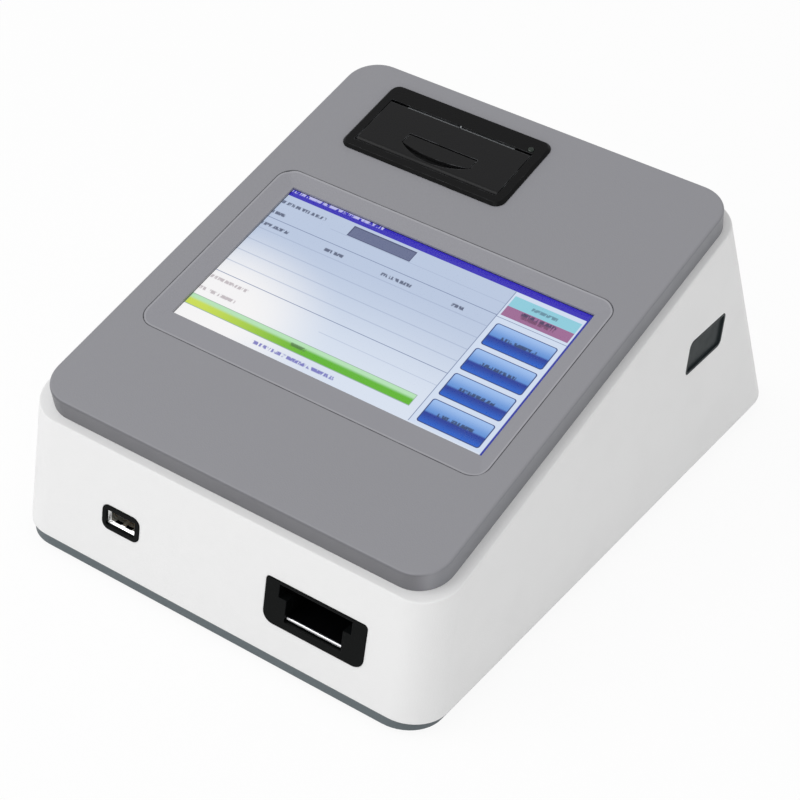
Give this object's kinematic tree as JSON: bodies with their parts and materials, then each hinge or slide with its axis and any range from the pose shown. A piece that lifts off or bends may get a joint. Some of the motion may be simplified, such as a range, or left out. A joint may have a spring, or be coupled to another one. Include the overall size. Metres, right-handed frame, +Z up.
{
  "type": "rapid test reader",
  "caption": "Wedge-shaped desktop test reader with sloping cover, touch display, panel printer, motor-driven test card slot, chip socket and rear ports.",
  "frame": {"origin": "on the table, under the middle of the housing", "axes": "+Z up, front with the card slot towards -Y, +X to the right seen from the front"},
  "size_m": [0.209, 0.3266, 0.1467],
  "materials": {
    "housing_white": "fine moulded texture, satin",
    "cover_grey": "fine spark texture, satin",
    "base_dark": "matt moulded",
    "black_plastic": "fine spark texture",
    "inner_black": "matt moulded",
    "screen_glass": "clear, polished",
    "screen_panel": "lit display",
    "steel": "brushed",
    "zinc_steel": "zinc plated sheet",
    "plated": "bright nickel plating",
    "brass": "turned",
    "gold": "gold flash",
    "rubber": "matt",
    "board_green": "solder resist",
    "aluminium": "machined",
    "white_nylon": "moulded nylon",
    "paper": "uncoated paper, wound",
    "led_green": "clear tinted lens, unlit",
    "lens_glass": "polished"
  },
  "bodies": {
    "housing": {"base_tray": "base_dark", "housing_shell": "housing_white", "top_cover": "cover_grey", "display_surround": "cover_grey", "display_gasket": "rubber", "touch_glass": "screen_glass", "display_panel": "screen_panel", "display_bracket": "zinc_steel", "main_board": "board_green", "display_screws": "steel", "printer_bucket": "black_plastic", "door_hinge_pin": "steel", "idler_stud": "steel", "feed_motor": "zinc_steel", "print_head": "aluminium", "tear_bar": "steel", "status_led": "led_green", "slot_bezel": "black_plastic", "reader_chassis": "zinc_steel", "guide_rods": "steel", "drive_motor": "zinc_steel", "optics_bridge": "aluminium", "optics_block": "inner_black", "objective_lens": "lens_glass", "excitation_lamp": "screen_glass", "detector_board": "board_green", "home_sensor": "inner_black", "chip_socket_frame": "black_plastic", "chip_socket_shell": "plated", "chip_socket_tongue": "white_nylon", "chip_socket_contacts": "gold", "chip_socket_board": "board_green", "side_insert": "black_plastic", "rear_port_bay": "base_dark", "rear_port_board": "board_green", "dc_inlet": "inner_black", "network_socket": "plated", "switch_frame": "inner_black", "rocker_pin": "steel", "power_board": "board_green", "speaker": "inner_black", "rubber_feet": "rubber", "base_screws": "steel", "cover_screws": "steel"},
    "door": {"printer_door": "black_plastic", "platen_bushes": "brass", "paddle_pin": "steel"},
    "paddle": {"door_paddle": "black_plastic"},
    "platen": {"platen_shaft": "steel", "platen_roller": "rubber", "platen_gear": "white_nylon"},
    "idler": {"idler_gear": "white_nylon"},
    "feed": {"feed_pinion": "brass"},
    "roll": {"paper_roll": "paper"},
    "carriage": {"card_carriage": "inner_black", "card_floor_plate": "steel", "carriage_bushes": "brass"},
    "drive": {"drive_pinion": "brass"},
    "rocker": {"power_rocker": "black_plastic"}
  },
  "joints": [
    {"name": "door_hinge", "type": "hinge", "parent": "housing", "child": "door", "pos_m": [-0.0306, 0.02394, 0.13165], "axis": [1, 0, 0], "range_deg": [0, 88]},
    {"name": "paddle_hinge", "type": "hinge", "parent": "door", "child": "paddle", "pos_m": [-0.0301, 0.03415, 0.13656], "axis": [-1, 0, 0], "range_deg": [0, 30], "stiffness_Nm_per_rad": 0.01},
    {"name": "platen_spin", "type": "hinge", "parent": "door", "child": "platen", "pos_m": [-0.0306, 0.04604, 0.1336], "axis": [1, 0, 0], "continuous": true},
    {"name": "idler_spin", "type": "hinge", "parent": "housing", "child": "idler", "pos_m": [-0.0006, 0.04898, 0.12399], "axis": [1, 0, 0], "continuous": true},
    {"name": "feed_spin", "type": "hinge", "parent": "housing", "child": "feed", "pos_m": [-0.0006, 0.04694, 0.11517], "axis": [1, 0, 0], "continuous": true},
    {"name": "roll_spin", "type": "hinge", "parent": "housing", "child": "roll", "pos_m": [-0.0306, 0.03973, 0.11557], "axis": [1, 0, 0], "continuous": true},
    {"name": "card_slide", "type": "slide", "parent": "housing", "child": "carriage", "axis": [0, 1, 0], "range_m": [0, 0.055]},
    {"name": "drive_spin", "type": "hinge", "parent": "housing", "child": "drive", "pos_m": [0.0493, -0.08764, 0.01605], "axis": [1, 0, 0], "range_deg": [-660, 0]},
    {"name": "rocker_tilt", "type": "hinge", "parent": "housing", "child": "rocker", "pos_m": [0.03, 0.11564, 0.028], "axis": [1, 0, 0], "range_deg": [0, 20]}
  ],
  "couplings": [
    {"joint": "idler_spin", "follows": "platen_spin", "ratio": -0.66667},
    {"joint": "feed_spin", "follows": "platen_spin", "ratio": 1.3333},
    {"joint": "drive_spin", "follows": "card_slide", "rad_per_m": -208.33}
  ]
}
